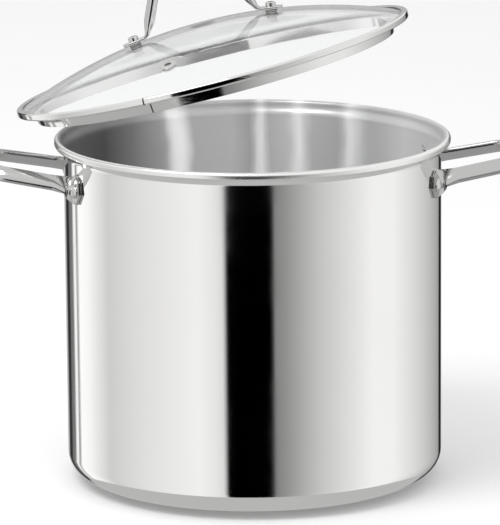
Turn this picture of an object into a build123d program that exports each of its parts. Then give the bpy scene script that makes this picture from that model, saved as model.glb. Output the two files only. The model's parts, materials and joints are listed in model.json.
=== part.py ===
from build123d import *
import math
import os

# Stock pot: a drawn stainless steel pot with a bonded base, two riveted tube
# handles, and a domed glass lid in a steel band, held raised over the mouth.
# Millimetres. The origin is the centre of the flat face that the pot stands
# on, +X runs through the right-hand side handle, +Z is up.

# ---- pot body ----
BODY_R = 170.0          # outside radius of the straight wall
WALL = 0.8              # sheet thickness
CORNER_R = 20.0         # outside radius of the bottom corner
BODY_Z = 5.0            # underside of the body above the ground
RIM_Z = 314.0           # crown of the rolled rim
ROLL_R = 3.0            # half the width of the rolled rim
ROLL_STRAIGHT = 1.7     # straight part of its sides
FLARE = 3.2             # how far the mouth is spun out under the rim
FLARE_H = 9.0           # height over which it is spun out
CURL_END = 110.0        # degrees that the roll's lower arc turns through
BORE_R = BODY_R - WALL
MOUTH_R = BORE_R + FLARE
ROLL_X = MOUTH_R + ROLL_R

# ---- bonded base ----
BASE_R = 130.0          # outside radius of the steel cap
CAP_T = 0.6             # its sheet thickness
CAP_CORNER = 3.0        # its outside corner radius
CORE_GAP = 0.2          # side clearance of the aluminium core in the cap

# ---- side handles ----
FOOT_ANGLE = 21.0       # rivets either side of the handle's middle, degrees
RIVET_Z = 277.0
TAB_T = 3.0             # pressed tube end, two walls thick
TAB_DROOP = 12.0        # fall of the tab away from the arm, degrees
TAB_ROOT = 12.5         # rivet to the start of the pressed end
ARM_RISE = 9.5          # slope of the handle's plane, degrees
ARM_X = 174.0           # arm start, measured out from the pot's axis
ARM_Y = 48.0
ARM_Z = 282.5
BAR_OUT = 66.0          # arm start to the outer bar along the slope
BAR_Y = 42.0            # half the length of the outer bar, corner to corner
BEND_R = 20.0
TUBE_H = 15.5           # flat oval tube, its long and short diameters
TUBE_W = 8.0
TUBE_LEAN = 42.0        # top of the oval leans in over the handle's gap, degrees
RIVET_D = 5.0
RIVET_CLEAR = 0.1       # radial clearance round a rivet shank
WALL_GAP = 0.05         # tab's back to the crest of the wall
PRESS_WIDER = 2.0       # how far a tube end spreads each side as it is pressed
PRESS_THINNER = 1.0
TAB_OUTLINE = [(-13.5, -8.5), (-2, -13), (5, -11), (9, 0), (5, 11), (-2, 13), (-13.5, 8.5)]
TAB_ROUND = 0.8
RIVET_HEAD_R = 6.2
RIVET_DOME_H = 3.6
RIVET_EDGE = 0.7
RIVET_DOME_R = (RIVET_HEAD_R**2 + (RIVET_DOME_H - RIVET_EDGE)**2) / (
    2 * (RIVET_DOME_H - RIVET_EDGE))
BUTTON_R = 5.5
BUTTON_H = 1.4
BUTTON_SEAT = 169.05    # button's seat from the pot's axis
RIVET_SPAN = BODY_R + WALL_GAP + TAB_T - BUTTON_SEAT

# ---- lid, in its own frame: z = 0 is the underside of its flange ----
LID_R = 181.2           # outside radius of the band
BAND_T = 0.6
CHANNEL_H = 6.3         # height of the band's edge
CHANNEL_BEND = 1.6      # its corner radius
LIP_R = 175.8           # inner edge of the lip that holds the glass
LIP_DROP = 0.45         # the lip leans down onto the glass
SKIRT_TOP_R = 167.5
SKIRT_LOW_R = 164.5
SKIRT_H = 9.8
GLASS_T = 4.0
GLASS_R = 180.2
GLASS_RIM_Z = 1.2       # underside of the glass in the channel
GLASS_FLAT_R = 174.5    # where the flat rim ends and the dome begins
DOME_TOP = 38.8
GLASS_EDGE_R = 1.2
VENT_AT = (-31.0, -118.0)
VENT_BORE = 6.0
VENT_HOLE = 10.0

# ---- lid handle ----
SCREW_X = 62.8          # screws either side of the lid's centre
SCREW_D = 5.0
GLASS_HOLE = 9.0
SEAL_D = 10.6
SEAL_T = 2.0
LID_TAB_T = 2.6
LID_TAB_W = 12.5
LID_TAB_IN = 12.0       # screw to the start of the pressed end
LID_TAB_OUT = 10.5      # screw to the outer end of the tab
LID_TUBE_W = 12.0       # oval tube, across and in the plane of the arch
LID_TUBE_T = 9.5
GRIP_H = 53.0           # grip's centre line above the tabs
GRIP_HALF = 29.0        # half the straight grip, corner to corner
GRIP_BEND = 15.0
PRESS_RISE = 13.0       # length over which a tube end is pressed flat
MID_SHARE = 0.62        # middle pressed section, share of the way to the pressed end
MID_IN = 1.6
MID_WIDE = 12.4
MID_THICK = 5.9
TAB_CORNER_R = 4.5
ROOT_IN = 0.4           # the pressed end runs this much inside its tab's edges
SEAL_LIFT = 0.15        # flat seals clear the curve of the glass by this much
LOW_SEAL_T = 1.6
SLEEVE_H = 3.0          # collar of the lower seal inside the glass hole
WASHER_T = 1.2
WASHER_R = 6.5
HEAD_R = 4.6
HEAD_H = 4.2
SOCKET_R = 2.3
SOCKET_DEEP = 2.4
NUT_R = 4.7
NUT_H = 4.0
NUT_END = 0.4
NUT_EDGE = 0.5
HEAD_EDGE = 1.0
BORE_EASE = 0.2         # round the screw in its seals and the handle's tab
WASHER_EASE = 0.15
NUT_EASE = 0.05
SLEEVE_EASE = 0.3       # lower seal's collar in the glass hole
VENT_LIP = 1.2
VENT_CROWN = 1.7        # height of the eyelet's inner lip
VENT_CROWN_R = 4.2
VENT_EDGE_R = 6.9
VENT_EDGE = 0.96
VENT_EASE = 0.25        # vent flanges clear the curve of the glass by this much
VENT_HEAD_R = 7.5
VENT_LOW_R = 6.6

# ---- how the lid is held up: it swings about a line left of the pot ----
LID_SPIN = -4.0         # handle's line against the side handles' line
LID_TILT = 14.4         # degrees, right side up
LIFT_TURN = -16.5       # direction that rises, degrees from +X
SEAT_GAP = 0.3          # flange to rim crown when the lid is down
SEAT_SHIFT = 3.0        # lid centre from the pot's axis when it is down
POLE_OUT = 260.0        # swing line left of the pot's axis
POLE_DOWN = 122.0       # swing line below the seated flange

os.makedirs("parts", exist_ok=True)


def skin(depth):
    """Pot wall line from the axis to the end of the curl, depth mm into the sheet."""
    corner_r = CORNER_R - WALL + depth
    flare_r = (FLARE_H**2 + FLARE**2) / (4 * FLARE)
    flare_turn = math.degrees(math.asin(FLARE_H / (2 * flare_r)))
    low_z = RIM_Z - ROLL_R - ROLL_STRAIGHT
    flare_z = low_z - FLARE_H
    floor_z = BODY_Z + WALL - depth
    roll_r = ROLL_R - depth
    Line((0, floor_z), (BODY_R - CORNER_R, floor_z))
    CenterArc((BODY_R - CORNER_R, BODY_Z + CORNER_R), corner_r, -90, 90)
    Line((BORE_R + depth, BODY_Z + CORNER_R), (BORE_R + depth, flare_z))
    CenterArc((BORE_R + flare_r, flare_z), flare_r - depth, 180, -flare_turn)
    CenterArc((MOUTH_R - flare_r, low_z), flare_r + depth, -flare_turn, flare_turn)
    Line((MOUTH_R + depth, low_z), (MOUTH_R + depth, RIM_Z - ROLL_R))
    CenterArc((ROLL_X, RIM_Z - ROLL_R), roll_r, 180, -180)
    Line((ROLL_X + roll_r, RIM_Z - ROLL_R), (ROLL_X + roll_r, low_z))
    CenterArc((ROLL_X, low_z), roll_r, 0, -CURL_END)


def on_circle(centre, radius, angle):
    """Point at an angle in degrees on a circle in a profile plane."""
    turn = math.radians(angle)
    return (centre[0] + radius * math.cos(turn), centre[1] + radius * math.sin(turn))


def foot_plane(side, end, radius):
    """Plane tangent to the wall at a handle foot: z out of the wall, x to the tab's tip."""
    turn = math.radians(FOOT_ANGLE) * end
    out = Vector(side * math.cos(turn), math.sin(turn), 0)
    along = Vector(-side * math.sin(turn) * end, math.cos(turn) * end, 0)
    droop = math.radians(TAB_DROOP)
    tip = along * math.cos(droop) - Vector(0, 0, 1) * math.sin(droop)
    return Plane(origin=out * radius + Vector(0, 0, RIVET_Z), x_dir=tip, z_dir=out)


FEET = [(side, end) for side in (-1, 1) for end in (-1, 1)]

# ---- pot body: one drawn and spun shell with a curled rim ----
curl = (ROLL_X, RIM_Z - ROLL_R - ROLL_STRAIGHT)
with BuildPart() as pot_body:
    with BuildSketch(Plane.XZ):
        with BuildLine():
            skin(0.0)
            skin(WALL)
            Line((0, BODY_Z), (0, BODY_Z + WALL))
            Line(on_circle(curl, ROLL_R, -CURL_END), on_circle(curl, ROLL_R - WALL, -CURL_END))
        make_face()
    revolve(axis=Axis.Z)
    for side, end in FEET:
        with BuildSketch(foot_plane(side, end, BODY_R - 5)):
            Circle(RIVET_D / 2 + RIVET_CLEAR)
        extrude(amount=10, mode=Mode.SUBTRACT)
pot_body.part.label = "pot_body"
export_step(pot_body.part, "parts/pot_body.step")

# ---- bonded base: aluminium core in a pressed steel cap ----
with BuildPart() as base_cap:
    with BuildSketch(Plane.XZ):
        with BuildLine():
            Line((0, 0), (BASE_R - CAP_CORNER, 0))
            CenterArc((BASE_R - CAP_CORNER, CAP_CORNER), CAP_CORNER, -90, 90)
            Polyline((BASE_R, CAP_CORNER), (BASE_R, BODY_Z), (BASE_R - CAP_T, BODY_Z),
                     (BASE_R - CAP_T, CAP_CORNER))
            CenterArc((BASE_R - CAP_CORNER, CAP_CORNER), CAP_CORNER - CAP_T, -90, 90)
            Polyline((BASE_R - CAP_CORNER, CAP_T), (0, CAP_T), (0, 0))
        make_face()
    revolve(axis=Axis.Z)
base_cap.part.label = "base_cap"
export_step(base_cap.part, "parts/base_cap.step")

with BuildPart() as base_core:
    with BuildSketch(Plane.XY.offset(CAP_T)):
        Circle(BASE_R - CAP_T - CORE_GAP)
    extrude(amount=BODY_Z - CAP_T)
    chamfer(base_core.edges().group_by(Axis.Z)[0], CAP_CORNER - CAP_T)
base_core.part.label = "base_core"
export_step(base_core.part, "parts/base_core.step")


def handle_plane():
    """Sloping plane of the right side handle: x outwards and up, y along the outer bar."""
    rise = math.radians(ARM_RISE)
    return Plane(origin=(ARM_X, 0, ARM_Z), x_dir=(math.cos(rise), 0, math.sin(rise)),
                 z_dir=(-math.sin(rise), 0, math.cos(rise)))


def leaning(plane, along):
    """Direction of the oval's long diameter where the tube runs along a direction."""
    lean = math.radians(TUBE_LEAN)
    return plane.z_dir * math.cos(lean) - along.cross(plane.z_dir) * math.sin(lean)


# ---- side handles: oval tube bent to a bow, its ends pressed into riveted tabs ----
slope = handle_plane()
with BuildPart() as right_handle:
    with BuildLine(slope) as bow:
        FilletPolyline((0, -ARM_Y), (BAR_OUT, -BAR_Y), (BAR_OUT, BAR_Y), (0, ARM_Y),
                       radius=BEND_R)
    with BuildSketch(Plane(origin=bow.line @ 0, x_dir=leaning(slope, bow.line % 0),
                           z_dir=bow.line % 0)):
        Ellipse(TUBE_H / 2, TUBE_W / 2)
    sweep()
    for end in (-1, 1):
        foot = foot_plane(1, end, BODY_R + WALL_GAP)
        across = foot.y_dir if foot.y_dir.Z > 0 else foot.y_dir * -1
        root = foot.origin + foot.z_dir * (TAB_T / 2) - foot.x_dir * TAB_ROOT
        place = 0 if end < 0 else 1
        arm_end = bow.line @ place
        inward = (bow.line % place) * end
        tall = leaning(slope, bow.line % place)
        middle = (root + arm_end) * 0.5 + foot.z_dir
        with BuildSketch(Plane(origin=arm_end, x_dir=tall, z_dir=inward)):
            Ellipse(TUBE_H / 2, TUBE_W / 2)
        with BuildSketch(Plane(origin=middle, x_dir=tall + across, z_dir=foot.x_dir + inward)):
            Ellipse(TUBE_H / 2 + PRESS_WIDER / 2, TUBE_W / 2 - PRESS_THINNER)
        with BuildSketch(Plane(origin=root, x_dir=across, z_dir=foot.x_dir)):
            Ellipse(TUBE_H / 2 + PRESS_WIDER, TAB_T / 2 - ROOT_IN / 3)
        loft()
        with BuildSketch(foot):
            with BuildLine():
                Polyline(TAB_OUTLINE, close=True)
            make_face()
            fillet(vertices(), TAB_ROUND)
        extrude(amount=TAB_T)
        with BuildSketch(foot):
            Circle(RIVET_D / 2 + RIVET_CLEAR)
        extrude(amount=TAB_T, mode=Mode.SUBTRACT)
right_handle.part.label = "right_handle"
export_step(right_handle.part, "parts/right_handle.step")

with BuildPart() as left_handle:
    mirror(right_handle.part, about=Plane.YZ)
left_handle.part.label = "left_handle"
export_step(left_handle.part, "parts/left_handle.step")

# ---- rivets: domed outside, flat button inside ----
for side, end in FEET:
    name = ("left" if side < 0 else "right") + ("_front_rivet" if end < 0 else "_rear_rivet")
    outside = foot_plane(side, end, BODY_R + WALL_GAP + TAB_T)
    inside = foot_plane(side, end, BUTTON_SEAT)
    with BuildPart() as rivet:
        with BuildSketch(Plane(origin=inside.origin, x_dir=inside.x_dir, z_dir=inside.y_dir * -1)):
            with BuildLine():
                top = RIVET_SPAN + RIVET_DOME_H
                Polyline((0, top), (0, -BUTTON_H), (BUTTON_R - BUTTON_H, -BUTTON_H), (BUTTON_R, 0),
                         (RIVET_D / 2, 0), (RIVET_D / 2, RIVET_SPAN), (RIVET_HEAD_R, RIVET_SPAN),
                         (RIVET_HEAD_R, RIVET_SPAN + RIVET_EDGE))
                RadiusArc((RIVET_HEAD_R, RIVET_SPAN + RIVET_EDGE), (0, top), -RIVET_DOME_R)
            make_face()
        revolve(axis=Axis(inside.origin, inside.z_dir))
    rivet.part.label = name
    export_step(rivet.part, f"parts/{name}.step")

# ---- lid frame: the seated lid turned up about the swing line ----
turn = math.radians(LIFT_TURN)
tilt = math.radians(LID_TILT)
rising = Vector(math.cos(turn), math.sin(turn), 0)
aside = Vector(-math.sin(turn), math.cos(turn), 0)
up = Vector(0, 0, 1)
arm_u = SEAT_SHIFT + POLE_OUT
lid_u = arm_u * math.cos(tilt) - POLE_DOWN * math.sin(tilt) - POLE_OUT
lid_z = arm_u * math.sin(tilt) + POLE_DOWN * math.cos(tilt) - POLE_DOWN
tilted = rising * math.cos(tilt) + up * math.sin(tilt)
spin = math.radians(LID_SPIN - LIFT_TURN)
LID = Plane(origin=rising * lid_u + up * (RIM_Z + SEAT_GAP + lid_z),
            x_dir=tilted * math.cos(spin) + aside * math.sin(spin),
            z_dir=up * math.cos(tilt) - rising * math.sin(tilt))
LID_SIDE = Plane(origin=LID.origin, x_dir=LID.x_dir, z_dir=LID.y_dir * -1)
LID_AXIS = Axis(LID.origin, LID.z_dir)
DOME_R = (GLASS_FLAT_R**2 + (DOME_TOP - GLASS_RIM_Z - GLASS_T)**2) / (
    2 * (DOME_TOP - GLASS_RIM_Z - GLASS_T))

# ---- lid band: one rolled strip, a skirt, a flange and a lip over the glass edge ----
with BuildPart() as lid_band:
    with BuildSketch(LID_SIDE):
        with BuildLine():
            edge = LID_R - BAND_T
            Polyline((SKIRT_LOW_R, -SKIRT_H), (SKIRT_TOP_R, 0), (LID_R, 0), (LID_R, CHANNEL_H),
                     (LIP_R, CHANNEL_H - LIP_DROP), (LIP_R, CHANNEL_H - LIP_DROP - BAND_T),
                     (edge, CHANNEL_H - BAND_T), (edge, BAND_T), (SKIRT_TOP_R - BAND_T, BAND_T),
                     (SKIRT_LOW_R - BAND_T, -SKIRT_H), close=True)
        make_face()
        bends = [v for v in vertices() if abs(LID_SIDE.to_local_coords(v.center()).X - LID_R) < 0.1]
        fillet(bends, CHANNEL_BEND)
        bends = [v for v in vertices() if abs(LID_SIDE.to_local_coords(v.center()).X - edge) < 0.1]
        fillet(bends, CHANNEL_BEND - BAND_T)
    revolve(axis=LID_AXIS)
lid_band.part.label = "lid_band"
export_step(lid_band.part, "parts/lid_band.step")


def dome_point(x, y, depth=0.0):
    """Point on the dome over lid place x, y, depth mm below its outer face."""
    ball = DOME_R - depth
    height = DOME_TOP - DOME_R + math.sqrt(ball**2 - x**2 - y**2)
    return LID.from_local_coords(Vector(x, y, height))


def dome_plane(x, y, rise=0.0):
    """Plane tangent to the dome over lid place x, y, raised along the dome's normal."""
    centre = LID.from_local_coords(Vector(0, 0, DOME_TOP - DOME_R))
    out = (dome_point(x, y) - centre).normalized()
    side = LID.y_dir if abs(x) > abs(y) else LID.x_dir
    return Plane(origin=dome_point(x, y) + out * rise, x_dir=side.cross(out), z_dir=out)


# ---- lid glass: a pressed dome with a flat rim, drilled for the screws and the vent ----
with BuildPart() as lid_glass:
    with BuildSketch(LID_SIDE):
        with BuildLine():
            rim_top = GLASS_RIM_Z + GLASS_T
            inner_r = DOME_R - GLASS_T
            centre_z = DOME_TOP - DOME_R
            flat_in = math.sqrt(inner_r**2 - (GLASS_RIM_Z - centre_z)**2)
            Line((0, DOME_TOP - GLASS_T), (0, DOME_TOP))
            RadiusArc((0, DOME_TOP), (GLASS_FLAT_R, rim_top), DOME_R)
            Polyline((GLASS_FLAT_R, rim_top), (GLASS_R, rim_top), (GLASS_R, GLASS_RIM_Z),
                     (flat_in, GLASS_RIM_Z))
            RadiusArc((0, DOME_TOP - GLASS_T), (flat_in, GLASS_RIM_Z), inner_r)
        make_face()
        rim = [v for v in vertices() if abs(LID_SIDE.to_local_coords(v.center()).X - GLASS_R) < 0.1]
        fillet(rim, GLASS_EDGE_R)
    revolve(axis=LID_AXIS)
    for x, y, bore in ((-SCREW_X, 0, GLASS_HOLE), (SCREW_X, 0, GLASS_HOLE), (*VENT_AT, VENT_HOLE)):
        with BuildSketch(dome_plane(x, y, 5)):
            Circle(bore / 2)
        extrude(amount=-GLASS_T * 4, mode=Mode.SUBTRACT)
lid_glass.part.label = "lid_glass"
export_step(lid_glass.part, "parts/lid_glass.step")


def turned(plane, *outline, socket_z=None):
    """Ring turned about a plane's normal from (radius, height) corners, with an optional socket."""
    with BuildPart() as ring:
        with BuildSketch(Plane(origin=plane.origin, x_dir=plane.x_dir, z_dir=plane.y_dir * -1)):
            with BuildLine():
                Polyline(*outline, close=True)
            make_face()
        revolve(axis=Axis(plane.origin, plane.z_dir))
        if socket_z is not None:
            with BuildSketch(Plane(origin=plane.origin + plane.z_dir * socket_z, x_dir=plane.x_dir,
                                   z_dir=plane.z_dir)):
                RegularPolygon(SOCKET_R, 6)
            extrude(amount=-SOCKET_DEEP, mode=Mode.SUBTRACT)
    return ring


def ring_outline(bore, outer, low, high, ease=0.3):
    """Corners of a flat ring with eased outer edges."""
    return ((bore, low), (outer - ease, low), (outer, low + ease), (outer, high - ease),
            (outer - ease, high), (bore, high))


# ---- vent: a steel eyelet closed over both faces of the glass ----
vent_at = dome_plane(*VENT_AT)
vent_grommet = turned(
    vent_at, (VENT_BORE / 2, VENT_LIP), (VENT_BORE / 2, -GLASS_T - VENT_LIP),
    (VENT_LOW_R, -GLASS_T - VENT_LIP), (VENT_LOW_R, -GLASS_T - VENT_EASE),
    (VENT_HOLE / 2 - VENT_EASE, -GLASS_T - VENT_EASE), (VENT_HOLE / 2 - VENT_EASE, VENT_EASE),
    (VENT_HEAD_R, VENT_EASE), (VENT_EDGE_R, VENT_EDGE), (VENT_CROWN_R, VENT_CROWN))
vent_grommet.part.label = "vent_grommet"
export_step(vent_grommet.part, "parts/vent_grommet.step")

# ---- screw stacks: screw, upper seal, tab, glass, lower seal, washer, cap nut ----
for side, name in ((-1, "left"), (1, "right")):
    stack = dome_plane(side * SCREW_X, 0)
    shank = SCREW_D / 2
    head_z = SEAL_T + LID_TAB_T
    washer_z = -GLASS_T - LOW_SEAL_T
    nut_z = washer_z - WASHER_T
    screw = turned(stack, (0, head_z + HEAD_H), (0, nut_z - NUT_H + NUT_END),
                   (shank, nut_z - NUT_H + NUT_END), (shank, head_z), (HEAD_R, head_z),
                   (HEAD_R, head_z + HEAD_H - HEAD_EDGE), (HEAD_R - HEAD_EDGE, head_z + HEAD_H),
                   socket_z=head_z + HEAD_H)
    upper_seal = turned(stack, *ring_outline(shank + BORE_EASE, SEAL_D / 2, SEAL_LIFT, SEAL_T))
    lower_seal = turned(stack, (shank + BORE_EASE, -GLASS_T + SLEEVE_H), (shank + BORE_EASE, washer_z),
                        (WASHER_R, washer_z), (WASHER_R, -GLASS_T - SEAL_LIFT),
                        (GLASS_HOLE / 2 - SLEEVE_EASE, -GLASS_T - SEAL_LIFT),
                        (GLASS_HOLE / 2 - SLEEVE_EASE, -GLASS_T + SLEEVE_H))
    washer = turned(stack, *ring_outline(shank + WASHER_EASE, WASHER_R, nut_z, washer_z))
    with BuildPart() as nut:
        with BuildSketch(Plane(origin=stack.origin + stack.z_dir * nut_z, x_dir=stack.x_dir,
                               z_dir=stack.z_dir)):
            RegularPolygon(NUT_R, 6)
            Circle(shank + NUT_EASE, mode=Mode.SUBTRACT)
        extrude(amount=-NUT_H)
        chamfer(nut.edges().filter_by(GeomType.LINE).filter_by(
            lambda e: abs((e @ 0 - e @ 1).dot(stack.z_dir)) > 1), NUT_EDGE)
    for piece, kind in ((screw, "screw"), (upper_seal, "upper_seal"), (lower_seal, "lower_seal"),
                        (washer, "washer"), (nut, "nut")):
        piece.part.label = f"lid_{name}_{kind}"
        export_step(piece.part, f"parts/lid_{name}_{kind}.step")

# ---- lid handle: an oval tube arch, its ends pressed into screwed tabs ----
with BuildPart() as lid_handle:
    tab_z = LID.to_local_coords(dome_plane(SCREW_X, 0, SEAL_T + LID_TAB_T / 2).origin).Z
    lean = (SCREW_X - LID_TAB_IN - GRIP_HALF) / GRIP_H
    foot_x = SCREW_X - LID_TAB_IN - PRESS_RISE * lean
    with BuildLine(LID_SIDE) as arch:
        FilletPolyline((-foot_x, tab_z + PRESS_RISE), (-GRIP_HALF, tab_z + GRIP_H),
                       (GRIP_HALF, tab_z + GRIP_H), (foot_x, tab_z + PRESS_RISE), radius=GRIP_BEND)
    with BuildSketch(Plane(origin=arch.line @ 0, x_dir=LID.y_dir, z_dir=arch.line % 0)):
        Ellipse(LID_TUBE_W / 2, LID_TUBE_T / 2)
    sweep()
    for side in (-1, 1):
        seat = dome_plane(side * SCREW_X, 0, SEAL_T)
        outward = seat.x_dir if seat.x_dir.dot(LID.x_dir) * side > 0 else seat.x_dir * -1
        root = seat.origin + seat.z_dir * (LID_TAB_T / 2) - outward * LID_TAB_IN
        arm_end = arch.line @ (0 if side < 0 else 1)
        inward = (arch.line % (0 if side < 0 else 1)) * side
        middle = root * MID_SHARE + arm_end * (1 - MID_SHARE) - outward * MID_IN
        with BuildSketch(Plane(origin=arm_end, x_dir=LID.y_dir, z_dir=inward)):
            Ellipse(LID_TUBE_W / 2, LID_TUBE_T / 2)
        with BuildSketch(Plane(origin=middle, x_dir=LID.y_dir, z_dir=inward + outward)):
            Ellipse(MID_WIDE / 2, MID_THICK / 2)
        with BuildSketch(Plane(origin=root, x_dir=LID.y_dir, z_dir=outward)):
            Ellipse(LID_TAB_W / 2 - ROOT_IN, LID_TAB_T / 2 - ROOT_IN / 3)
        loft()
        with BuildSketch(Plane(origin=seat.origin, x_dir=outward, z_dir=seat.z_dir)):
            with Locations(((LID_TAB_OUT - LID_TAB_IN - 1) / 2, 0)):
                Rectangle(LID_TAB_OUT + LID_TAB_IN + 1, LID_TAB_W)
            fillet(vertices().sort_by(Axis.X)[-2:], TAB_CORNER_R)
            Circle(SCREW_D / 2 + BORE_EASE, mode=Mode.SUBTRACT)
        extrude(amount=LID_TAB_T)
lid_handle.part.label = "lid_handle"
export_step(lid_handle.part, "parts/lid_handle.step")
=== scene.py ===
"""Stock pot with its glass lid held up, dressed for rendering in the part's own frame.

Sizes in the classes are millimetres. Meshes are metres, +Z up, and the pot stands on z = 0 with
its side handles along X. The lid's pieces are worked out in the lid's own axes and then placed.
"""

from __future__ import annotations

import json
import logging
import math
from dataclasses import dataclass
from enum import Enum
from typing import Any, Sequence

import bpy
import numpy as np
from mathutils import Matrix

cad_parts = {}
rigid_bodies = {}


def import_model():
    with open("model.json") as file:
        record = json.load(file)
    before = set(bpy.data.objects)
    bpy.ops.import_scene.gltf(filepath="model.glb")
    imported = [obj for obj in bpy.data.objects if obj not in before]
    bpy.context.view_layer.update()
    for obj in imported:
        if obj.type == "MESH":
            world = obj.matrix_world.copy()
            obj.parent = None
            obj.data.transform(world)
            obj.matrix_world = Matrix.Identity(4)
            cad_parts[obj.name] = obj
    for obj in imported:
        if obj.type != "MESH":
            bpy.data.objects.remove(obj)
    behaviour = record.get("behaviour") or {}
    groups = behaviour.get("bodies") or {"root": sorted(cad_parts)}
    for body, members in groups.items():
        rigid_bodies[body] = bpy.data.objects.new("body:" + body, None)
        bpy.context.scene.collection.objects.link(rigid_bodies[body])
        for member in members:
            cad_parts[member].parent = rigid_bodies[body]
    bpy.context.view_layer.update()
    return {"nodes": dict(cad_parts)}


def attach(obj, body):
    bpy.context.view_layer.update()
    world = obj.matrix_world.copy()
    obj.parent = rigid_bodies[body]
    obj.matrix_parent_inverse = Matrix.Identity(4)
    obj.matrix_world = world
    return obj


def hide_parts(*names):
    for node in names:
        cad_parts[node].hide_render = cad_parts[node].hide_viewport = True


Array = np.ndarray
MM = 0.001
EASE = 0.25  # length of the short run kept beside each bend so that flats stay flat
log = logging.getLogger("stock_pot")


# ---------------------------------------------------------------- lines and surfaces
def unit(vectors: Array) -> Array:
    """Vectors divided by their lengths."""
    return vectors / np.linalg.norm(vectors, axis=-1, keepdims=True)


def smooth(values: Array, low: float, high: float) -> Array:
    """Smooth step from 0 at low to 1 at high: 3t squared less 2t cubed."""
    t = np.clip((values - low) / (high - low), 0.0, 1.0)
    return t * t * (3.0 - 2.0 * t)


def arc(centre: Sequence[float], radius: float, start: float, sweep: float, steps: int = 8) -> Array:
    """Points on a circle: the centre plus the radius at angles spread evenly over the sweep.

    Args:
        centre: The circle's centre in the profile plane.
        radius: Its radius.
        start: First angle in degrees.
        sweep: Angle covered in degrees, negative for clockwise.
        steps: Number of pieces.

    Returns:
        An array of (radius, height) points.
    """
    turn = np.radians(start + sweep * np.linspace(0.0, 1.0, steps + 1))
    return np.stack([centre[0] + radius * np.cos(turn), centre[1] + radius * np.sin(turn)], axis=1)


def straight(start: Sequence[float], end: Sequence[float]) -> Array:
    """A straight run with a short piece at each end, so that its shading stays flat."""
    a, b = np.array(start, float), np.array(end, float)
    near = min(EASE / max(np.linalg.norm(b - a), 1e-9), 0.25)
    return a + (b - a) * np.array([0.0, near, 1.0 - near, 1.0])[:, None]


def joined(*runs: Array) -> Array:
    """Runs end to end, each point that repeats the one before it left out."""
    points = np.concatenate(runs)
    moved = np.linalg.norm(np.diff(points, axis=0), axis=1) > 1e-5
    return points[np.concatenate([[True], moved])]


def rounded(corners: Array, radii: Sequence[float], steps: int = 6, closed: bool = False) -> Array:
    """Polyline with every corner turned to an arc.

    The arc's centre lies on the corner's bisector, its radius over the sine of half the corner
    away. Points go round it by spherical interpolation between the two touching radii.

    Args:
        corners: Corner points in two or three dimensions.
        radii: One radius for each corner, or for each inner corner of an open line.
        steps: Pieces in each arc.
        closed: True if the last corner joins the first.

    Returns:
        The points of the rounded line.
    """
    corners = np.asarray(corners, float)
    if closed:
        before, at, after = np.roll(corners, 1, axis=0), corners, np.roll(corners, -1, axis=0)
    else:
        before, at, after = corners[:-2], corners[1:-1], corners[2:]
    back, ahead = unit(before - at), unit(after - at)
    half = np.arccos(np.clip((back * ahead).sum(1, keepdims=True), -1, 1)) / 2
    radius = np.asarray(radii, float)[:, None]
    centre = at + unit(back + ahead) * radius / np.sin(half)
    start, end = at + back * radius / np.tan(half), at + ahead * radius / np.tan(half)
    span = (math.pi - 2 * half)[:, None]
    t = np.linspace(0.0, 1.0, steps + 1)[None, :, None]
    around = (np.sin((1 - t) * span) * (start - centre)[:, None]
              + np.sin(t * span) * (end - centre)[:, None]) / np.sin(span)
    bends = centre[:, None] + around
    lead_in, lead_out = start + back * EASE * 0.5, end + ahead * EASE * 0.5
    bends = np.concatenate([lead_in[:, None], bends, lead_out[:, None]], axis=1)
    points = bends.reshape(-1, corners.shape[1])
    return points if closed else np.concatenate([corners[:1], points, corners[-1:]])


def stations(line: Array, spacing: float, fine: float, fine_ends: float) -> tuple[Array, Array]:
    """A line taken again at even steps, closer together near both of its ends.

    Args:
        line: Points of the line.
        spacing: Step along the middle.
        fine: Step near the ends.
        fine_ends: Length of each end that takes the fine step.

    Returns:
        The new points, and each one's distance from the nearer end.
    """
    gone = np.concatenate([[0.0], np.cumsum(np.linalg.norm(np.diff(line, axis=0), axis=1))])
    whole = gone[-1]
    ends = np.arange(0.0, fine_ends, fine)
    middle = np.linspace(fine_ends, whole - fine_ends, int((whole - 2 * fine_ends) / spacing) + 2)
    at = np.concatenate([ends, middle, whole - ends[::-1]])
    points = np.stack([np.interp(at, gone, line[:, k]) for k in range(3)], axis=1)
    return points, np.minimum(at, whole - at)


def turned(profile: Array, steps: int) -> Array:
    """Surface of revolution: radius times cosine, radius times sine, height."""
    turn = np.linspace(0.0, 2 * math.pi, steps, endpoint=False)
    ring = np.stack([np.cos(turn), np.sin(turn), np.zeros(steps)], axis=1)
    rise = np.array([0.0, 0.0, 1.0])
    return profile[:, :1, None] * ring[None] + profile[:, 1:, None] * rise


def carried(line: Array, tall: Array, half_tall: Array, half_thick: Array, square: Array,
            steps: int) -> Array:
    """Tube whose section changes along a line, its two ends closed to points.

    The section is a superellipse: cosine and sine of the angle, each to the power of two over
    squareness, times the half height along tall and the half thickness across it. Squareness 2 is
    an oval, and 8 is nearly a flat bar.

    Args:
        line: Centre line, one row of three numbers for each section.
        tall: Direction of the section's height, near enough square to the line.
        half_tall: Half height for each section.
        half_thick: Half thickness for each section.
        square: Squareness for each section.
        steps: Points round each section.

    Returns:
        A grid of points, sections by steps by three.
    """
    along = unit(np.gradient(line, axis=0))
    across = unit(np.cross(along, tall))
    tall = np.cross(across, along)
    turn = np.linspace(0.0, 2 * math.pi, steps, endpoint=False)[None]
    power = 2.0 / square[:, None]
    high = np.sign(np.cos(turn)) * np.abs(np.cos(turn)) ** power * half_tall[:, None]
    wide = np.sign(np.sin(turn)) * np.abs(np.sin(turn)) ** power * half_thick[:, None]
    grid = line[:, None] + high[..., None] * tall[:, None] + wide[..., None] * across[:, None]
    ends = line[[0, -1], None] * np.ones((1, steps, 1))
    return np.concatenate([ends[:1], grid, ends[1:]])


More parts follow.
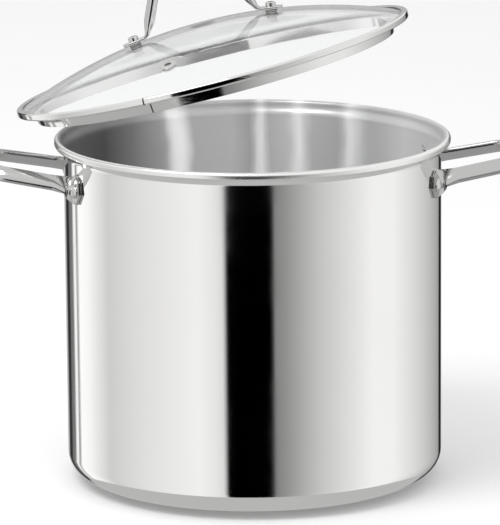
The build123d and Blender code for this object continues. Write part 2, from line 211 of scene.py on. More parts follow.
@dataclass(frozen=True)
class Placement:
    """Where a sub-assembly's own axes stand in the part's frame."""

    origin: Array
    x: Array
    y: Array
    z: Array

    def place(self, points: Array) -> Array:
        """Points moved from the sub-assembly's axes to the part's frame."""
        return self.origin + points @ np.stack([self.x, self.y, self.z])

    def direct(self, vectors: Array) -> Array:
        """Directions turned to the part's frame."""
        return vectors @ np.stack([self.x, self.y, self.z])


UPRIGHT = Placement(np.zeros(3), *np.eye(3))


def skinned(name: str, grid: Array, ring_closed: bool = False) -> bpy.types.Object:
    """Mesh over a grid of points that always closes on itself across its second direction.

    A row whose points all meet becomes one pole with triangles round it. If the enclosed volume,
    a sixth of the sum of each triangle's triple product, is negative, every face is turned over.
    The UV map is the share of the way round and the length along the grid in metres.

    Args:
        name: Object and mesh name.
        grid: Points in millimetres, rows by columns by three.
        ring_closed: True if the last row joins the first.

    Returns:
        The new object, at the origin.
    """
    rows, cols = grid.shape[:2]
    poles = np.ptp(grid, axis=1).max(axis=1) < 1e-6
    length = np.concatenate([[0.0], np.cumsum(
        np.linalg.norm(np.diff(grid, axis=0), axis=2).mean(axis=1))]) * MM
    ids = np.arange(rows * cols).reshape(rows, cols)
    ids[poles] = ids[poles, :1]
    ids = np.concatenate([ids, ids[:, :1]], axis=1)
    if ring_closed:
        ids, length = np.concatenate([ids, ids[:1]]), np.append(length, length[-1] + EASE * MM)
    share = np.linspace(0.0, 1.0, cols + 1)
    uv = np.stack(np.broadcast_arrays(share[None], length[:, None]), axis=-1)

    def corners(a: Array) -> Array:
        return np.stack([a[:-1, :-1], a[:-1, 1:], a[1:, 1:], a[1:, :-1]], axis=2).reshape(
            -1, 4, *a.shape[2:])

    quads, maps = corners(ids), corners(uv)
    points = grid.reshape(-1, 3) * MM
    a, b, c, d = (points[quads[:, k]] for k in range(4))
    volume = (a * np.cross(b, c)).sum() + (a * np.cross(c, d)).sum()
    if volume < 0:
        quads, maps = quads[:, ::-1], maps[:, ::-1]
    keep = quads != np.roll(quads, -1, axis=1)
    loops, sizes, maps = quads[keep], keep.sum(axis=1), maps[keep]
    used, loops = np.unique(loops, return_inverse=True)

    mesh = bpy.data.meshes.new(name)
    mesh.vertices.add(len(used))
    mesh.vertices.foreach_set("co", points[used].ravel())
    mesh.loops.add(len(loops))
    mesh.loops.foreach_set("vertex_index", loops.ravel())
    mesh.polygons.add(len(sizes))
    mesh.polygons.foreach_set("loop_start", np.concatenate([[0], np.cumsum(sizes)[:-1]]))
    mesh.uv_layers.new(name="UVMap").uv.foreach_set("vector", maps.ravel())
    mesh.update(calc_edges=True)
    mesh.shade_smooth()
    piece = bpy.data.objects.new(name, mesh)
    bpy.context.scene.collection.objects.link(piece)
    return piece


# ---------------------------------------------------------------- shader expressions
class Signal:
    """A shader socket that takes part in Python arithmetic."""

    def __init__(self, sheet: "Sheet", socket: Any) -> None:
        """Keeps the material's sheet and the socket."""
        self.sheet = sheet
        self.socket = socket

    def __add__(self, other: Any) -> "Signal":
        """Sum."""
        return self.sheet.math("ADD", self, other)

    __radd__ = __add__

    def __sub__(self, other: Any) -> "Signal":
        """Difference."""
        return self.sheet.math("SUBTRACT", self, other)

    def __rsub__(self, other: Any) -> "Signal":
        """Difference, turned round."""
        return self.sheet.math("SUBTRACT", other, self)

    def __mul__(self, other: Any) -> "Signal":
        """Product."""
        return self.sheet.math("MULTIPLY", self, other)

    __rmul__ = __mul__

    def ramp(self, low: float, high: float, start: float = 0.0, end: float = 1.0) -> "Signal":
        """Smooth step between two input values, from start to end."""
        node = self.sheet.node("ShaderNodeMapRange", {"interpolation_type": "SMOOTHSTEP"}, {
            "Value": self, "From Min": low, "From Max": high, "To Min": start, "To Max": end})
        return Signal(self.sheet, node.outputs["Result"])


@dataclass(frozen=True)
class Panel:
    """One stop of a ramp that goes round the pot: a bearing in degrees and a brightness."""

    bearing: float
    light: float


class Sheet:
    """One material's node tree and the few ways that nodes are added to it."""

    def __init__(self, name: str) -> None:
        """Makes the material with a Principled shader alone on its output."""
        self.material = bpy.data.materials.new(name)
        self.material.use_nodes = True
        self.tree = self.material.node_tree
        self.tree.nodes.clear()
        self.shader = self.node("ShaderNodeBsdfPrincipled", {}, {})
        output = self.node("ShaderNodeOutputMaterial", {}, {})
        self.tree.links.new(self.shader.outputs["BSDF"], output.inputs["Surface"])

    def node(self, kind: str, settings: dict[str, Any], inputs: dict[Any, Any]) -> Any:
        """Adds one node.

        Args:
            kind: Blender's node type.
            settings: Properties set before the sockets; "stops" fills a colour ramp.
            inputs: Socket name or number to a value, a Signal or a socket.

        Returns:
            The node.
        """
        node = self.tree.nodes.new(kind)
        for key, value in settings.items():
            if key == "stops":
                ramp = node.color_ramp
                while len(ramp.elements) < len(value):
                    ramp.elements.new(1.0)
                for element, (place, colour) in zip(ramp.elements, value):
                    element.position = place
                    element.color = (*colour, 1.0)
            else:
                setattr(node, key, value)
        for key, value in inputs.items():
            self.feed(node.inputs[key], value)
        return node

    def feed(self, socket: Any, value: Any) -> None:
        """Links a Signal to a socket, or sets the socket's own value."""
        if isinstance(value, Signal):
            self.tree.links.new(value.socket, socket)
        else:
            socket.default_value = value

    def math(self, operation: str, first: Any, second: Any = 0.0) -> Signal:
        """A Math node's result."""
        node = self.node("ShaderNodeMath", {"operation": operation}, {0: first, 1: second})
        return Signal(self, node.outputs[0])

    def mix(self, share: Any, first: Any, second: Any) -> Signal:
        """Colour mixed from first to second by share."""
        node = self.node("ShaderNodeMix", {"data_type": "RGBA"},
                         {"Factor": share, 6: first, 7: second})
        return Signal(self, node.outputs[2])

    def vector(self, x: Any, y: Any, z: Any) -> Signal:
        """A vector from three values."""
        node = self.node("ShaderNodeCombineXYZ", {}, {0: x, 1: y, 2: z})
        return Signal(self, node.outputs[0])

    def split(self, output: str) -> tuple[Signal, Signal, Signal]:
        """The three values of a texture coordinate."""
        coord = self.node("ShaderNodeTexCoord", {}, {})
        parts = self.node("ShaderNodeSeparateXYZ", {}, {0: Signal(self, coord.outputs[output])})
        return tuple(Signal(self, parts.outputs[k]) for k in range(3))

    def noise(self, vector: Signal, scale: float, detail: float = 2.0) -> Signal:
        """Fractal noise, about 0.5 on average."""
        node = self.node("ShaderNodeTexNoise", {},
                         {"Vector": vector, "Scale": scale, "Detail": detail})
        return Signal(self, node.outputs[0])

    def ramp_round(self, panels: Sequence[Panel], share: Signal) -> Signal:
        """Brightness set by bearing, from a share that runs 0 to 1 over -180 to 180 degrees."""
        stops = [((p.bearing + 180.0) / 360.0, (p.light,) * 3) for p in panels]
        node = self.node("ShaderNodeValToRGB", {"stops": stops}, {0: share})
        return Signal(self, node.outputs[0])

    def raise_surface(self, height: Signal, strength: float, distance: float) -> None:
        """Feeds the shader's Normal with a bump."""
        node = self.node("ShaderNodeBump", {}, {
            "Strength": strength, "Distance": distance, "Height": height})
        self.feed(self.shader.inputs["Normal"], Signal(self, node.outputs[0]))

    def dress(self, **inputs: Any) -> bpy.types.Material:
        """Sets the Principled shader's sockets, named with underscores, and gives the material."""
        for key, value in inputs.items():
            self.feed(self.shader.inputs[key.replace("_", " ").title().replace("Ior", "IOR")], value)
        return self.material


Colour = tuple[float, float, float]


def opaque(colour: Colour, gain: float = 1.0) -> tuple[float, float, float, float]:
    """A colour times a gain, with full alpha."""
    return (*(min(1.0, c * gain) for c in colour), 1.0)


@dataclass(frozen=True)
class Steel:
    """Polished stainless steel with faint wipe smudges and grain that follows the piece."""

    name: str
    colour: Colour = (0.93, 0.925, 0.915)
    roughness: float = 0.05
    smudge: float = 0.05
    grain: float = 0.02
    grain_scale: float = 900.0

    def base(self, sheet: Sheet) -> tuple[Signal, Signal, Signal]:
        """Colour, roughness and grain height over the piece's own coordinates."""
        x, y, z = sheet.split("Object")
        here = sheet.vector(x, y, z)
        wiped = sheet.noise(here, 14.0, 4.0).ramp(0.42, 0.72)
        tint = sheet.noise(here, 5.0)
        colour = sheet.mix(tint, opaque(self.colour, 0.97), opaque(self.colour, 1.02))
        grain = sheet.noise(sheet.vector(x * 0.15, y * 0.15, z), self.grain_scale, 2.0)
        return colour, self.roughness + wiped * self.smudge + grain * self.grain, grain

    def build(self) -> bpy.types.Material:
        """Makes the material."""
        sheet = Sheet(self.name)
        colour, roughness, grain = self.base(sheet)
        sheet.raise_surface(grain, 0.04, 0.0002)
        return sheet.dress(base_color=colour, metallic=1.0, roughness=roughness)


@dataclass(frozen=True)
class PotSteel(Steel):
    """Mirror outside and rougher inside, told apart by the length along the wall's profile; the
    inside's colour and glow are painted reflection and painted shade set by bearing round the pot.
    """

    inner_length: float = 0.48
    flare_low: float = 0.296
    flare_high: float = 0.308
    roll_low: float = 0.3052
    roll_haze: float = 0.17
    lip: Colour = (0.42, 0.42, 0.42)
    haze: float = 0.6
    sway: float = 0.035
    satin_roughness: float = 0.3
    bounced: float = 0.34  # faint glow for light that bounces many times between the walls
    # Stops of brightness by bearing for the inside: painted reflection and painted shade, dark to the
    # left and streaked bright further round.
    painted_light_stops: tuple[Panel, ...] = (
        Panel(-180, 0.7), Panel(-95, 0.1), Panel(-52, 0.08), Panel(-38, 0.26), Panel(-27, 0.5),
        Panel(-23.5, 1.0), Panel(-20.5, 1.0), Panel(-17, 0.6), Panel(-4, 0.62), Panel(2, 0.5),
        Panel(5, 0.98), Panel(8, 0.6), Panel(15, 0.7), Panel(18, 1.0), Panel(22, 0.66),
        Panel(30, 0.62), Panel(34, 1.0), Panel(41, 0.66), Panel(58, 0.74), Panel(90, 0.55),
        Panel(180, 0.7))

    def build(self) -> bpy.types.Material:
        """Makes the material."""
        sheet = Sheet(self.name)
        colour, roughness, grain = self.base(sheet)
        _, length, _ = sheet.split("UV")
        inside = length.ramp(self.inner_length + 0.0004, self.inner_length - 0.0004)
        x, y, z = sheet.split("Object")
        sway = sheet.noise(sheet.vector(x, y, z * 0.7), 11.0, 3.0) - 0.5
        turn = sheet.math("ARCTAN2", x, y) * (0.5 / math.pi) + 0.5 + sway * self.sway
        # Inside colour painted by bearing: painted reflection and painted shade, wobbled a little by
        # noise.
        painted_reflection = sheet.ramp_round(self.painted_light_stops, turn)
        lip = z.ramp(self.flare_low, self.flare_high)
        worn = sheet.noise(sheet.vector(x * 0.1, y * 0.1, z), 60.0, 2.0)
        # Greyer towards the mouth, then a little random wear, over the painted reflection.
        painted_sheen_and_wear = sheet.mix(lip * 0.55, painted_reflection, opaque(self.lip))
        painted_sheen_and_wear = sheet.mix(worn * 0.12, painted_sheen_and_wear, opaque(self.lip))
        brushed = sheet.noise(sheet.vector(x * 0.1, y * 0.1, z), 2600.0, 1.0)
        colour = sheet.mix(inside, colour, painted_sheen_and_wear)
        roughness = roughness + z.ramp(self.roll_low, self.roll_low + 0.001) * self.roll_haze
        roughness = roughness + inside * (self.satin_roughness + 0.06 * brushed - roughness)
        sheet.raise_surface(grain + inside * brushed, 0.03, 0.0002)
        # Glow inside from the painted reflection squared: painted light standing for light bounced
        # between the walls.
        glow = sheet.mix(inside, opaque((0.0, 0.0, 0.0)), sheet.mix(1.0, painted_reflection, painted_reflection * painted_reflection))
        return sheet.dress(base_color=colour, metallic=1.0 - inside * self.haze, roughness=roughness,
                           emission_color=glow, emission_strength=self.bounced)


@dataclass(frozen=True)
class SeamedSteel(Steel):
    """Polished strip with one butt seam across it, placed by the share of the way round."""

    seam: float = 0.70
    seam_width: float = 0.0009

    def build(self) -> bpy.types.Material:
        """Makes the material."""
        sheet = Sheet(self.name)
        colour, roughness, grain = self.base(sheet)
        share, _, _ = sheet.split("UV")
        off = sheet.math("ABSOLUTE", share - self.seam)
        gap = off.ramp(self.seam_width, self.seam_width * 0.4)
        colour = sheet.mix(gap, colour, opaque((0.05, 0.05, 0.05)))
        sheet.raise_surface(grain - gap * 3.0, 0.05, 0.0003)
        return sheet.dress(base_color=colour, metallic=1.0, roughness=roughness + gap * 0.3)


@dataclass(frozen=True)
class TurnedSteel:
    """Satin steel with fine rings about the pot's axis."""

    name: str
    colour: Colour = (0.62, 0.61, 0.60)

    def build(self) -> bpy.types.Material:
        """Makes the material."""
        sheet = Sheet(self.name)
        x, y, z = sheet.split("Object")
        radius = sheet.math("SQRT", x * x + y * y)
        rings = sheet.noise(sheet.vector(radius, 0.0, z), 1500.0, 3.0)
        scuffs = sheet.noise(sheet.vector(x, y, z), 30.0, 5.0).ramp(0.5, 0.7)
        colour = sheet.mix(rings, opaque(self.colour, 0.86), opaque(self.colour, 1.1))
        sheet.raise_surface(rings, 0.15, 0.0002)
        return sheet.dress(base_color=colour, metallic=1.0,
                           roughness=0.26 + rings * 0.12 + scuffs * 0.1)


@dataclass(frozen=True)
class ClearGlass:
    """Clear pressed glass, a little green, with a few faint smears."""

    name: str
    colour: Colour = (0.985, 0.998, 0.993)
    ior: float = 1.5

    def build(self) -> bpy.types.Material:
        """Makes the material."""
        sheet = Sheet(self.name)
        x, y, z = sheet.split("Object")
        here = sheet.vector(x, y, z)
        smears = sheet.noise(here, 16.0, 5.0).ramp(0.55, 0.75)
        tint = sheet.noise(here, 4.0)
        colour = sheet.mix(tint, opaque(self.colour), opaque(self.colour, 0.985))
        waves = sheet.noise(here, 22.0, 1.0)
        sheet.raise_surface(waves, 0.03, 0.001)
        return sheet.dress(base_color=colour, metallic=0.0, roughness=0.005 + smears * 0.02,
                           transmission_weight=1.0, ior=self.ior)


@dataclass(frozen=True)
class Silicone:
    """Matt grey silicone with a fine skin."""

    name: str
    colour: Colour = (0.46, 0.46, 0.45)

    def build(self) -> bpy.types.Material:
        """Makes the material."""
        sheet = Sheet(self.name)
        x, y, z = sheet.split("Object")
        here = sheet.vector(x, y, z)
        skin = sheet.noise(here, 1800.0, 3.0)
        dust = sheet.noise(here, 160.0, 4.0)
        colour = sheet.mix(dust, opaque(self.colour, 0.85), opaque(self.colour, 1.15))
        sheet.raise_surface(skin, 0.25, 0.0002)
        return sheet.dress(base_color=colour, roughness=0.52 + dust * 0.2)


# ---------------------------------------------------------------- shared joinery
class Body(Enum):
    """The two rigid bodies."""

    POT = "pot"
    LID = "lid"


class Side(Enum):
    """Left or right of the pot, by the sign of X."""

    LEFT = -1
    RIGHT = 1

    @property
    def word(self) -> str:
        """The side's name in node names."""
        return self.name.lower()


def fit(piece: bpy.types.Object, finish: bpy.types.Material, body: Body,
        node: str) -> None:
    """Dresses a new piece, rides it on its body and lets it stand for its CAD node."""
    piece.data.materials.clear()
    piece.data.materials.append(finish)
    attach(piece, body.value)
    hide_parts(node)
    log.info("%s made new, %d faces", node, len(piece.data.polygons))


def dress_node(frame: dict[str, Any], node: str, finish: bpy.types.Material) -> None:
    """Gives a CAD node that keeps its own mesh its finish."""
    mesh = frame["nodes"][node].data
    mesh.materials.clear()
    mesh.materials.append(finish)
    log.info("%s keeps its mesh, %d faces", node, len(mesh.polygons))


# ---------------------------------------------------------------- pot
@dataclass
class PotShell:
    """Drawn wall and bottom with a flared mouth and a rolled rim."""

    radius: float = 170.0
    sheet: float = 0.8
    corner: float = 20.0
    bottom: float = 5.0
    rim: float = 314.0
    roll: float = 3.0
    roll_run: float = 1.7
    flare: float = 3.2
    flare_height: float = 9.0
    curl_end: float = 110.0
    steps: int = 256

    def skin(self, depth: float) -> Array:
        """One face of the sheet from the axis to the end of the curl.

        Args:
            depth: How far into the sheet from the inner face.

        Returns:
            Profile points as radius and height.
        """
        bore = self.radius - self.sheet
        mouth = bore + self.flare
        bend = (self.flare_height**2 + self.flare**2) / (4 * self.flare)
        turn = math.degrees(math.asin(self.flare_height / (2 * bend)))
        low = self.rim - self.roll - self.roll_run
        base = low - self.flare_height
        floor = self.bottom + self.sheet - depth
        centre, small = mouth + self.roll, self.roll - depth
        knee = self.radius - self.corner
        return joined(
            straight((0, floor), (knee, floor)),
            arc((knee, self.bottom + self.corner), self.corner - self.sheet + depth, -90, 90, 16),
            straight((bore + depth, self.bottom + self.corner), (bore + depth, base)),
            arc((bore + bend, base), bend - depth, 180, -turn, 6),
            arc((mouth - bend, low), bend + depth, -turn, turn, 6),
            arc((centre, self.rim - self.roll), small, 180, -180, 16),
            arc((centre, low), small, 0, -self.curl_end, 10))

    def build(self, finish: bpy.types.Material) -> None:
        """Makes the shell: the inner face out to the curl, then the outer face back."""
        profile = joined(self.skin(0.0), self.skin(self.sheet)[::-1])
        profile[[0, -1], 0] = 0.0
        fit(skinned("pot_shell", turned(profile, self.steps)), finish, Body.POT,
            "pot_body")

    def inner_length(self) -> float:
        """Length in metres along the inner face from the axis to the crown of the rim."""
        inner = self.skin(0.0)
        inner = inner[: int(np.argmax(inner[:, 1])) + 1]
        return float(np.linalg.norm(np.diff(inner, axis=0), axis=1).sum()) * MM


@dataclass
class SideHandle:
    """Oval tube bent to a bow, each end pressed to a pointed tab on the wall."""

    side: Side
    wall: float = 170.05
    foot_turn: float = 21.0
    rivet_height: float = 277.0
    tab_half: float = 1.5
    tab_droop: float = 12.0
    tip_ahead: float = 9.0
    corner_back: float = 11.9
    arm_start: tuple[float, float, float] = (174.0, 48.0, 282.5)
    slope: float = 9.5
    reach: float = 66.0
    bar_half: float = 42.0
    bend: float = 20.0
    foot_bend: float = 7.0
    tube_tall: float = 15.5
    tube_thick: float = 8.0
    tube_lean: float = 42.0
    steps: int = 48

    def foot(self, end: int) -> tuple[Array, Array, Array]:
        """Tab tip, foot corner and the tab's upright direction at one end."""
        turn, droop = math.radians(self.foot_turn) * end, math.radians(self.tab_droop)
        out = np.array([math.cos(turn), math.sin(turn), 0.0])
        along = np.array([-math.sin(turn) * end, math.cos(turn) * end, 0.0])
        tip = along * math.cos(droop) - np.array([0, 0, math.sin(droop)])
        middle = out * (self.wall + self.tab_half) + np.array([0, 0, self.rivet_height])
        corner = middle - tip * self.corner_back + np.array([0, 0, 0.7])
        upright = np.cross(out, tip) * end
        return middle + tip * self.tip_ahead, corner, upright

    def build(self, finish: bpy.types.Material) -> None:
        """Carries the changing section from tab tip to tab tip."""
        rise = math.radians(self.slope)
        out = np.array([math.cos(rise), 0.0, math.sin(rise)])
        bar = np.array([self.arm_start[0], 0.0, self.arm_start[2]]) + out * self.reach
        tip_a, corner_a, upright_a = self.foot(-1)
        tip_b, corner_b, upright_b = self.foot(1)
        sideways = np.array([0.0, self.bar_half, 0.0])
        line = rounded(np.array([tip_a, corner_a, bar - sideways, bar + sideways, corner_b, tip_b]),
                       (self.foot_bend, self.bend, self.bend, self.foot_bend), 16)
        line, gone = stations(line, 1.6, 0.55, 40.0)
        above = np.array([-math.sin(rise), 0.0, math.cos(rise)])
        lean = math.radians(self.tube_lean)
        along = unit(np.gradient(line, axis=0))
        tall_arm = above * math.cos(lean) - np.cross(along, above) * math.sin(lean)
        rear = (np.arange(len(line)) > len(line) // 2)[:, None]
        tab = np.where(rear, upright_b, upright_a)
        share = smooth(gone, 9.0, 27.0)[:, None]
        half_tall = np.interp(gone, (0, 4.3, 11, 15, 22, 36),
                              (0.25, 11.3, 13.0, 12.2, 9.6, self.tube_tall / 2))
        half_thick = self.tab_half + (self.tube_thick / 2 - self.tab_half) * smooth(gone, 14.0, 36.0)
        square = 7.0 - 5.0 * smooth(gone, 13.0, 26.0)
        grid = carried(line, tab * (1 - share) + tall_arm * share, half_tall, half_thick, square,
                       self.steps)
        grid[..., 0] *= self.side.value
        name = f"{self.side.word}_handle"
        fit(skinned(f"{name}_tube", grid), finish, Body.POT, name)


@dataclass
class Rivet:
    """Domed rivet through a handle's tab and the wall, with a flat button inside."""

    side: Side
    end: int
    foot_turn: float = 21.0
    height: float = 277.0
    seat: float = 169.05
    span: float = 4.0
    shank: float = 2.5
    head: float = 6.2
    dome: float = 3.6
    button: float = 5.5
    steps: int = 48

    def build(self, finish: bpy.types.Material) -> None:
        """Turns the rivet's profile about the line out of the wall."""
        edge = self.span + 0.7
        ball = (self.head**2 + (self.dome - 0.7) ** 2) / (2 * (self.dome - 0.7))
        reach = math.degrees(math.asin(self.head / ball))
        top = arc((0, self.span + self.dome - ball), ball, 90 - reach, reach, 10)
        foot = rounded(np.array([(0, -1.4), (self.button - 0.9, -1.4), (self.button, 0.0),
                                 (self.shank, 0.0), (self.shank, self.span),
                                 (self.head, self.span), (self.head, edge)]),
                       (0.8, 0.3, 0.2, 0.2, 0.25), 4)
        profile = joined(foot, top)
        profile[[0, -1], 0] = 0.0
        turn = math.radians(self.foot_turn) * self.end
        out = np.array([self.side.value * math.cos(turn), math.sin(turn), 0.0])
        aside = np.array([-out[1], out[0], 0.0])
        place = Placement(out * self.seat + np.array([0, 0, self.height]), aside,
                          np.cross(out, aside), out)
        name = f"{self.side.word}_{'front' if self.end < 0 else 'rear'}_rivet"
        fit(skinned(f"{name}_head", place.place(turned(profile, self.steps))), finish,
            Body.POT, name)


# ---------------------------------------------------------------- lid
@dataclass
class Lid:
    """Glass dome in a rolled steel band, with a tube handle screwed through it."""

    rim: float = 314.0
    seat_gap: float = 0.3
    seat_shift: float = 3.0
    pole_out: float = 260.0
    pole_down: float = 122.0
    tilt: float = 14.4
    lift_turn: float = -16.5
    spin: float = -4.0
    dome_top: float = 38.8
    glass_flat: float = 174.5
    glass_edge: float = 180.2
    glass_low: float = 1.2
    glass: float = 4.0
    screw_out: float = 62.8
    seal: float = 2.0
    tab_half: float = 1.3
    grip_rise: float = 53.0
    grip_half: float = 29.0

    def placement(self) -> Placement:
        """The raised lid's axes, from the seated lid turned up about its swing line."""
        turn, tilt = math.radians(self.lift_turn), math.radians(self.tilt)
        rising = np.array([math.cos(turn), math.sin(turn), 0.0])
        aside, up = np.array([-math.sin(turn), math.cos(turn), 0.0]), np.array([0.0, 0.0, 1.0])
        arm = self.seat_shift + self.pole_out
        out = arm * math.cos(tilt) - self.pole_down * math.sin(tilt) - self.pole_out
        high = arm * math.sin(tilt) + self.pole_down * math.cos(tilt) - self.pole_down
        tilted = rising * math.cos(tilt) + up * math.sin(tilt)
        normal = up * math.cos(tilt) - rising * math.sin(tilt)
        spin = math.radians(self.spin) - turn
        x = tilted * math.cos(spin) + aside * math.sin(spin)
        origin = rising * out + up * (self.rim + self.seat_gap + high)
        return Placement(origin, x, np.cross(normal, x), normal)

    def ball(self) -> float:
        """Radius of the dome's outer face."""
        rise = self.dome_top - self.glass_low - self.glass
        return (self.glass_flat**2 + rise**2) / (2 * rise)

    def build_band(self, finish: bpy.types.Material) -> None:
        """Turns the strip's closed section: skirt, flange, channel and lip."""
        corners = np.array([(165.0, -9.8), (167.5, 0.0), (181.2, 0.0), (181.2, 6.3), (175.8, 5.85),
                            (175.8, 5.25), (180.6, 5.7), (180.6, 0.6), (164.3, 0.6), (164.3, -9.8)])
        radii = (0.2, 0.9, 1.6, 1.6, 0.25, 0.25, 1.0, 1.0, 0.4, 0.2)
        grid = turned(rounded(corners, radii, 5, closed=True), 320)
        piece = skinned("lid_band_strip", self.placement().place(grid), ring_closed=True)
        fit(piece, finish, Body.LID, "lid_band")

    def build_handle(self, finish: bpy.types.Material) -> None:
        """Carries the changing section from tab to tab over the grip."""
        ball = self.ball()
        lean = math.asin(self.screw_out / ball)
        out = np.array([math.cos(lean), 0.0, -math.sin(lean)])
        normal = np.array([math.sin(lean), 0.0, math.cos(lean)])
        middle = np.array([0, 0, self.dome_top - ball]) + normal * (ball + self.seal + self.tab_half)
        tip, corner = middle + out * 10.5, middle - out * 12.0
        grip = np.array([self.grip_half, 0.0, middle[2] + self.grip_rise])
        flip = np.array([-1.0, 1.0, 1.0])
        line = rounded(np.array([tip * flip, corner * flip, grip * flip, grip, corner, tip]),
                       (7.0, 15.0, 15.0, 7.0), 16)
        line, gone = stations(line, 1.4, 0.5, 36.0)
        half_wide = 6.25 * np.sqrt(np.clip(1 - (1 - gone / 5.5).clip(0, 1) ** 2, 0.002, 1))
        half_wide = half_wide - 0.25 * smooth(gone, 20.0, 34.0)
        half_thick = self.tab_half + (4.75 - self.tab_half) * smooth(gone, 19.0, 38.0)
        square = 7.0 - 5.0 * smooth(gone, 18.0, 30.0)
        tall = np.broadcast_to([0.0, 1.0, 0.0], line.shape)
        grid = carried(line, tall, half_wide, half_thick, square, 40)
        piece = skinned("lid_handle_tube", self.placement().place(grid))
        fit(piece, finish, Body.LID, "lid_handle")


# ---------------------------------------------------------------- studio
@dataclass
class Studio:
    """Pale floor, white surround, one soft lamp, a light tent that only reflections see."""

    bearing: float = -3.0
    elevation: float = 12.99
    distance: float = 4.2
    target_height: float = 0.155
    roll: float = -0.465
    aim_up: float = 0.548
    aim_left: float = 0.0415
    lens: float = 317.5
    sensor: float = 36.0
    tent_radius: float = 3.0
    tent_height: float = 0.8
    tent_depth: float = 1.7

    def clear(self) -> None:
        """Removes whatever the start-up file holds."""
        for thing in list(bpy.data.objects):
            bpy.data.objects.remove(thing)

    def camera(self) -> None:
        """Long lens at the product's viewing angle."""
        turn, up = math.radians(self.bearing), math.radians(self.elevation)
        back = np.array([math.sin(turn) * math.cos(up), -math.cos(turn) * math.cos(up), math.sin(up)])
        place = np.array([0, 0, self.target_height]) + back * self.distance
        right = unit(np.cross(-back, [0.0, 0.0, 1.0]))
        above = np.cross(right, -back)
        look = unit(-back + above * math.tan(math.radians(self.aim_up))
                    - right * math.tan(math.radians(self.aim_left)))
        tilt = math.radians(self.roll)
        right = unit(np.cross(look, above * math.cos(tilt) - right * math.sin(tilt)))
        matrix = np.eye(4)
        matrix[:3, 0], matrix[:3, 1] = right, np.cross(right, look)
        matrix[:3, 2], matrix[:3, 3] = -look, place
        data = bpy.data.cameras.new("camera")
        data.lens, data.sensor_width, data.clip_end = self.lens, self.sensor, 100.0
        thing = bpy.data.objects.new("camera", data)
        thing.matrix_world = Matrix(matrix.tolist())
        bpy.context.scene.collection.objects.link(thing)
        bpy.context.scene.camera = thing

    def surround(self) -> None:
        """White world and one big soft lamp over the front left."""
        world = bpy.data.worlds.new("surround")
        world.use_nodes = True
        world.node_tree.nodes["Background"].inputs["Color"].default_value = (1.0, 1.0, 1.0, 1.0)
        world.node_tree.nodes["Background"].inputs["Strength"].default_value = 0.92
        bpy.context.scene.world = world
        lamp = bpy.data.lights.new("soft_lamp", "AREA")
        lamp.shape, lamp.size, lamp.size_y, lamp.energy = "RECTANGLE", 1.6, 1.2, 30.0
        thing = bpy.data.objects.new("soft_lamp", lamp)
        thing.location = (-1.2, -1.0, 2.6)
        thing.rotation_euler = (math.radians(22), math.radians(-24), 0.0)
        bpy.context.scene.collection.objects.link(thing)
        bpy.context.scene.view_settings.view_transform = "Standard"

    def floor(self) -> None:
        """Wide pale floor, a flat square of four points."""
        half = 30.0
        mesh = bpy.data.meshes.new("floor")
        mesh.from_pydata([(-half, -half, 0), (half, -half, 0), (half, half, 0), (-half, half, 0)],
                         [], [(0, 1, 2, 3)])
        piece = bpy.data.objects.new("floor", mesh)
        bpy.context.scene.collection.objects.link(piece)
        sheet = Sheet("pale_floor")
        x, y, z = sheet.split("Object")
        cloud = sheet.noise(sheet.vector(x, y, z), 3.0)
        colour = sheet.mix(cloud, opaque((0.93, 0.93, 0.93)), opaque((0.95, 0.95, 0.95)))
        mesh.materials.append(sheet.dress(base_color=colour, roughness=0.9, specular_ior_level=0.1))
        piece.visible_glossy = False

    def tent(self) -> None:
        """Open cylinder round the pot that only mirror rays see, its light set by bearing."""
        panels = (Panel(-180, 0.5), Panel(-162, 0.5), Panel(-159, 0.06), Panel(-151, 0.012),
                  Panel(-149, 0.17), Panel(-142, 0.2), Panel(-140, 1.0), Panel(-136, 1.0),
                  Panel(-135, 0.32), Panel(-133, 0.32), Panel(-131.5, 1.08), Panel(-118, 1.0),
                  Panel(-97, 0.66), Panel(-70, 0.8), Panel(-33, 0.95), Panel(-23, 0.86),
                  Panel(-18, 0.76), Panel(-15.5, 0.0), Panel(11, 0.0), Panel(12.3, 0.24),
                  Panel(19, 0.31), Panel(40, 0.6), Panel(75, 0.95), Panel(92, 0.95),
                  Panel(147, 0.42), Panel(154, 0.34), Panel(155.5, 0.01), Panel(165, 0.01),
                  Panel(167, 0.5), Panel(180, 0.5))
        profile = np.array([(self.tent_radius, -self.tent_depth),
                            (self.tent_radius, self.tent_height)])
        piece = skinned("light_tent", turned(profile / MM, 96))
        sheet = Sheet("tent_light")
        x, y, _ = sheet.split("Object")
        lead = math.radians(self.bearing)
        ahead = x * math.sin(lead) - y * math.cos(lead)
        aside = x * math.cos(lead) + y * math.sin(lead)
        place = sheet.math("ARCTAN2", aside, ahead) * (0.5 / math.pi) + 0.5
        piece.data.materials.append(sheet.dress(
            base_color=(0.0, 0.0, 0.0, 1.0), specular_ior_level=0.0,
            emission_color=sheet.ramp_round(panels, place), emission_strength=1.0))
        self.mirror_only(piece)

    def mirror_only(self, piece: bpy.types.Object) -> None:
        """Hides a piece from every ray but mirror rays."""
        for ray in ("camera", "diffuse", "transmission", "volume_scatter", "shadow"):
            setattr(piece, f"visible_{ray}", False)

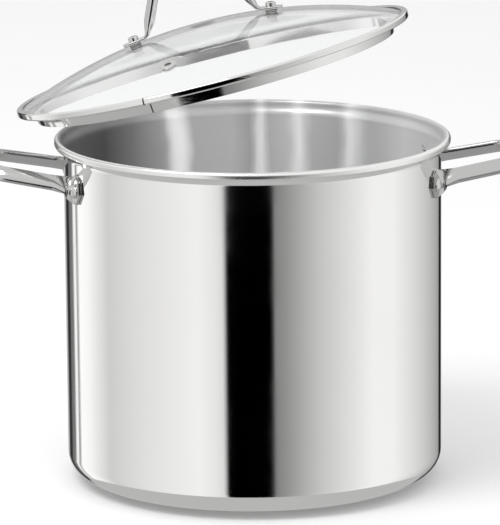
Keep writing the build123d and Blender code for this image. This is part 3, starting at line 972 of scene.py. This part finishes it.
    def card(self, name: str, corners: Sequence[Sequence[float]], light: float) -> None:
        """A flat card that only mirror rays see.

        Args:
            name: Object and material name.
            corners: Its corners in metres.
            light: Its brightness.
        """
        mesh = bpy.data.meshes.new(name)
        mesh.from_pydata([tuple(c) for c in corners], [], [tuple(range(len(corners)))])
        piece = bpy.data.objects.new(name, mesh)
        bpy.context.scene.collection.objects.link(piece)
        mesh.materials.append(Sheet(name).dress(
            base_color=(0.0, 0.0, 0.0, 1.0), specular_ior_level=0.0,
            emission_color=(light, light, light, 1.0), emission_strength=1.0))
        self.mirror_only(piece)

    def cards(self) -> None:
        """A dark ground far below, and a dark bar in front that the band's skirt shows."""
        wide, low = self.tent_radius, -self.tent_depth
        self.card("ground_card", [(-wide, -wide, low), (wide, -wide, low), (wide, wide, low),
                                  (-wide, wide, low)], 0.5)
        self.card("bar_card", [(-1.44, -2.7, -0.1), (0.85, -2.7, -0.1), (0.85, -2.7, 0.45),
                               (-1.44, -2.7, 0.45)], 0.0)


def main() -> None:
    """Loads the frame, dresses each piece and sets the stage."""
    logging.basicConfig(level=logging.INFO, format="%(message)s")
    studio = Studio()
    studio.clear()
    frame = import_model()

    shell, lid = PotShell(), Lid()
    # The side handles' steel colour is set dark: painted shade, in place of a darker surround in
    # their reflections.
    tube = Steel("handle_steel", colour=(0.56, 0.56, 0.555), roughness=0.13)
    fastener = Steel("fastener_steel", colour=(0.66, 0.655, 0.645), roughness=0.14).build()
    handle_finish = tube.build()
    shell.build(PotSteel("pot_steel", inner_length=shell.inner_length()).build())
    for side in Side:
        SideHandle(side).build(handle_finish)
        for end in (-1, 1):
            Rivet(side, end).build(fastener)
    dress_node(frame, "base_cap", TurnedSteel("base_steel").build())
    dress_node(frame, "base_core", TurnedSteel("base_aluminium", colour=(0.8, 0.8, 0.81)).build())

    lid.build_band(SeamedSteel("band_steel", colour=(0.82, 0.815, 0.805)).build())
    lid.build_handle(Steel("lid_handle_steel", colour=(0.62, 0.62, 0.615)).build())
    dress_node(frame, "lid_glass", ClearGlass("lid_glass").build())
    silicone = Silicone("seal_rubber").build()
    dress_node(frame, "vent_grommet", fastener)
    for side in Side:
        for kind in ("screw", "washer", "nut"):
            dress_node(frame, f"lid_{side.word}_{kind}", fastener)
        for kind in ("upper_seal", "lower_seal"):
            dress_node(frame, f"lid_{side.word}_{kind}", silicone)

    studio.floor()
    studio.tent()
    studio.cards()
    studio.surround()
    studio.camera()


if __name__ == "__main__":
    main()
